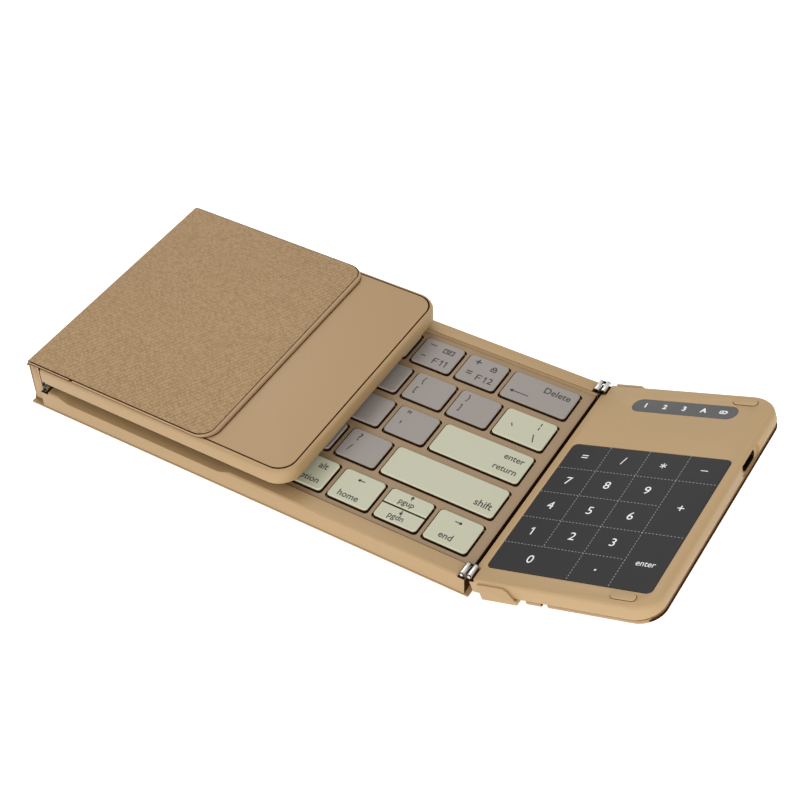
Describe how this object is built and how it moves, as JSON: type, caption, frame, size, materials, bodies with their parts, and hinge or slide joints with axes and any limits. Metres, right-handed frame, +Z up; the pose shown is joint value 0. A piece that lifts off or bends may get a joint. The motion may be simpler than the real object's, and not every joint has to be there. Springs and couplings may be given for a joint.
{
  "type": "folding keyboard",
  "caption": "Folding wireless keyboard in three hinged panels with a number touch pad and a fold-over stand cover.",
  "frame": {"origin": "middle of the underside of the middle panel's bottom sheet", "axes": "+X along the keyboard towards the number pad, +Y from the front edge to the back edge, +Z up"},
  "size_m": [0.235, 0.0996, 0.0302],
  "materials": {
    "tan_shell": "fine matt moulded plastic, warm tan",
    "tan_cover": "woven-grain coated fabric in tan, with a smooth rolled border",
    "circuit_board": "green solder mask",
    "dome_rubber": "translucent silicone domes on foil",
    "hinge_steel": "bright machined steel",
    "pad_glass": "satin charcoal touch surface with pale figures and a dashed grid",
    "indicator_window": "grey window with small pale marks",
    "battery_pouch": "dark foil pouch",
    "taupe_key": "matt taupe key with dark legend",
    "sage_key": "matt pale sage key with dark legend"
  },
  "bodies": {
    "base": {"base_tray": "tan_shell", "base_floor_plate": "hinge_steel", "base_sheet": "tan_cover", "base_circuit_board": "circuit_board", "base_dome_sheet": "dome_rubber", "base_hinge_knuckles": "hinge_steel", "base_screws": "hinge_steel"},
    "left_link": {"left_hinge_links": "hinge_steel", "left_hinge_pins": "hinge_steel"},
    "left_panel": {"left_tray": "tan_shell", "left_back_plate": "tan_shell", "left_circuit_board": "circuit_board", "left_dome_sheet": "dome_rubber", "left_hinge_knuckles": "hinge_steel"},
    "cover_spine": {"spine_bar": "tan_shell", "spine_skin": "tan_cover"},
    "cover_strip": {"cover_strip": "tan_cover"},
    "stand_flap": {"flap_board": "tan_shell", "flap_fabric": "tan_cover", "flap_magnets": "hinge_steel"},
    "right_link": {"right_hinge_links": "hinge_steel", "right_hinge_pins": "hinge_steel"},
    "right_panel": {"right_tray": "tan_shell", "pad_glass": "pad_glass", "touch_board": "circuit_board", "battery": "battery_pouch", "main_board": "circuit_board", "charging_socket": "hinge_steel", "indicator_window": "indicator_window", "bumper_pads": "tan_shell", "right_back_plate": "tan_shell", "clip_bracket": "tan_shell", "cover_leaves": "tan_cover", "right_hinge_knuckles": "hinge_steel"},
    "key_minus": {"key_minus": "taupe_key"},
    "key_equals": {"key_equals": "taupe_key"},
    "key_delete": {"key_delete": "taupe_key"},
    "key_bracket_left": {"key_bracket_left": "taupe_key"},
    "key_bracket_right": {"key_bracket_right": "taupe_key"},
    "key_backslash": {"key_backslash": "sage_key"},
    "key_quote": {"key_quote": "taupe_key"},
    "key_enter": {"key_enter": "sage_key"},
    "key_slash": {"key_slash": "taupe_key"},
    "key_shift": {"key_shift": "sage_key"},
    "key_option": {"key_option": "sage_key"},
    "key_home": {"key_home": "sage_key"},
    "key_page_up": {"key_page_up": "sage_key"},
    "key_page_down": {"key_page_down": "sage_key"},
    "key_end": {"key_end": "sage_key"},
    "base_keys_row_1": {"base_keys_row_1": "taupe_key"},
    "base_keys_row_2": {"base_keys_row_2": "taupe_key"},
    "base_keys_row_3": {"base_keys_row_3": "taupe_key"},
    "base_keys_row_4": {"base_keys_row_4": "taupe_key"},
    "base_keys_row_5": {"base_keys_row_5": "sage_key"},
    "left_keys_row_1": {"left_keys_row_1": "taupe_key"},
    "left_keys_row_2": {"left_keys_row_2": "taupe_key"},
    "left_keys_row_3": {"left_keys_row_3": "taupe_key"},
    "left_keys_row_4": {"left_keys_row_4": "taupe_key"},
    "left_keys_row_5": {"left_keys_row_5": "sage_key"}
  },
  "joints": [
    {"name": "left_link_turn", "type": "hinge", "parent": "base", "child": "left_link", "pos_m": [-0.08165, 0, 0.0092], "axis": [0, -1, 0], "range_deg": [0, 90]},
    {"name": "left_panel_turn", "type": "hinge", "parent": "left_link", "child": "left_panel", "pos_m": [-0.08165, 0, 0.0118], "axis": [0, -1, 0], "range_deg": [0, 90]},
    {"name": "spine_turn", "type": "hinge", "parent": "base", "child": "cover_spine", "pos_m": [-0.0869, 0, 0.0015], "axis": [0, -1, 0], "range_deg": [0, 90]},
    {"name": "strip_turn", "type": "hinge", "parent": "cover_spine", "child": "cover_strip", "pos_m": [-0.0869, 0, 0.0189], "axis": [0, -1, 0], "range_deg": [0, 90]},
    {"name": "stand_flap_lift", "type": "hinge", "parent": "cover_strip", "child": "stand_flap", "pos_m": [-0.0682, 0, 0.0203], "axis": [0, -1, 0], "range_deg": [0, 90]},
    {"name": "right_link_turn", "type": "hinge", "parent": "base", "child": "right_link", "pos_m": [0.0824, 0, 0.0092], "axis": [0, -1, 0], "range_deg": [-10.2, 79.8]},
    {"name": "right_panel_turn", "type": "hinge", "parent": "right_link", "child": "right_panel", "pos_m": [0.08496, 0, 0.00966], "axis": [0, -1, 0], "range_deg": [-10.2, 79.8]},
    {"name": "key_minus_press", "type": "slide", "parent": "base", "child": "key_minus", "axis": [0, 0, -1], "range_m": [0, 0.0012], "stiffness_N_per_m": 250, "springref_m": -0.0008},
    {"name": "key_equals_press", "type": "slide", "parent": "base", "child": "key_equals", "axis": [0, 0, -1], "range_m": [0, 0.0012], "stiffness_N_per_m": 250, "springref_m": -0.0008},
    {"name": "key_delete_press", "type": "slide", "parent": "base", "child": "key_delete", "axis": [0, 0, -1], "range_m": [0, 0.0012], "stiffness_N_per_m": 250, "springref_m": -0.0008},
    {"name": "key_bracket_left_press", "type": "slide", "parent": "base", "child": "key_bracket_left", "axis": [0, 0, -1], "range_m": [0, 0.0012], "stiffness_N_per_m": 250, "springref_m": -0.0008},
    {"name": "key_bracket_right_press", "type": "slide", "parent": "base", "child": "key_bracket_right", "axis": [0, 0, -1], "range_m": [0, 0.0012], "stiffness_N_per_m": 250, "springref_m": -0.0008},
    {"name": "key_backslash_press", "type": "slide", "parent": "base", "child": "key_backslash", "axis": [0, 0, -1], "range_m": [0, 0.0012], "stiffness_N_per_m": 250, "springref_m": -0.0008},
    {"name": "key_quote_press", "type": "slide", "parent": "base", "child": "key_quote", "axis": [0, 0, -1], "range_m": [0, 0.0012], "stiffness_N_per_m": 250, "springref_m": -0.0008},
    {"name": "key_enter_press", "type": "slide", "parent": "base", "child": "key_enter", "axis": [0, 0, -1], "range_m": [0, 0.0012], "stiffness_N_per_m": 250, "springref_m": -0.0008},
    {"name": "key_slash_press", "type": "slide", "parent": "base", "child": "key_slash", "axis": [0, 0, -1], "range_m": [0, 0.0012], "stiffness_N_per_m": 250, "springref_m": -0.0008},
    {"name": "key_shift_press", "type": "slide", "parent": "base", "child": "key_shift", "axis": [0, 0, -1], "range_m": [0, 0.0012], "stiffness_N_per_m": 250, "springref_m": -0.0008},
    {"name": "key_option_press", "type": "slide", "parent": "base", "child": "key_option", "axis": [0, 0, -1], "range_m": [0, 0.0012], "stiffness_N_per_m": 250, "springref_m": -0.0008},
    {"name": "key_home_press", "type": "slide", "parent": "base", "child": "key_home", "axis": [0, 0, -1], "range_m": [0, 0.0012], "stiffness_N_per_m": 250, "springref_m": -0.0008},
    {"name": "key_page_up_press", "type": "slide", "parent": "base", "child": "key_page_up", "axis": [0, 0, -1], "range_m": [0, 0.0012], "stiffness_N_per_m": 250, "springref_m": -0.0008},
    {"name": "key_page_down_press", "type": "slide", "parent": "base", "child": "key_page_down", "axis": [0, 0, -1], "range_m": [0, 0.0012], "stiffness_N_per_m": 250, "springref_m": -0.0008},
    {"name": "key_end_press", "type": "slide", "parent": "base", "child": "key_end", "axis": [0, 0, -1], "range_m": [0, 0.0012], "stiffness_N_per_m": 250, "springref_m": -0.0008},
    {"name": "base_keys_row_1_press", "type": "slide", "parent": "base", "child": "base_keys_row_1", "axis": [0, 0, -1], "range_m": [0, 0.0012], "stiffness_N_per_m": 1250, "springref_m": -0.0008},
    {"name": "base_keys_row_2_press", "type": "slide", "parent": "base", "child": "base_keys_row_2", "axis": [0, 0, -1], "range_m": [0, 0.0012], "stiffness_N_per_m": 1250, "springref_m": -0.0008},
    {"name": "base_keys_row_3_press", "type": "slide", "parent": "base", "child": "base_keys_row_3", "axis": [0, 0, -1], "range_m": [0, 0.0012], "stiffness_N_per_m": 1250, "springref_m": -0.0008},
    {"name": "base_keys_row_4_press", "type": "slide", "parent": "base", "child": "base_keys_row_4", "axis": [0, 0, -1], "range_m": [0, 0.0012], "stiffness_N_per_m": 1250, "springref_m": -0.0008},
    {"name": "base_keys_row_5_press", "type": "slide", "parent": "base", "child": "base_keys_row_5", "axis": [0, 0, -1], "range_m": [0, 0.0012], "stiffness_N_per_m": 1250, "springref_m": -0.0008},
    {"name": "left_keys_row_1_press", "type": "slide", "parent": "left_panel", "child": "left_keys_row_1", "axis": [0, 0, 1], "range_m": [0, 0.0012], "stiffness_N_per_m": 1250, "springref_m": -0.0008},
    {"name": "left_keys_row_2_press", "type": "slide", "parent": "left_panel", "child": "left_keys_row_2", "axis": [0, 0, 1], "range_m": [0, 0.0012], "stiffness_N_per_m": 1250, "springref_m": -0.0008},
    {"name": "left_keys_row_3_press", "type": "slide", "parent": "left_panel", "child": "left_keys_row_3", "axis": [0, 0, 1], "range_m": [0, 0.0012], "stiffness_N_per_m": 1250, "springref_m": -0.0008},
    {"name": "left_keys_row_4_press", "type": "slide", "parent": "left_panel", "child": "left_keys_row_4", "axis": [0, 0, 1], "range_m": [0, 0.0012], "stiffness_N_per_m": 1250, "springref_m": -0.0008},
    {"name": "left_keys_row_5_press", "type": "slide", "parent": "left_panel", "child": "left_keys_row_5", "axis": [0, 0, 1], "range_m": [0, 0.0012], "stiffness_N_per_m": 1250, "springref_m": -0.0008}
  ],
  "couplings": [
    {"joint": "left_panel_turn", "follows": "left_link_turn", "ratio": 1},
    {"joint": "spine_turn", "follows": "left_link_turn", "ratio": 1},
    {"joint": "strip_turn", "follows": "left_link_turn", "ratio": 1},
    {"joint": "right_panel_turn", "follows": "right_link_turn", "ratio": 1}
  ]
}
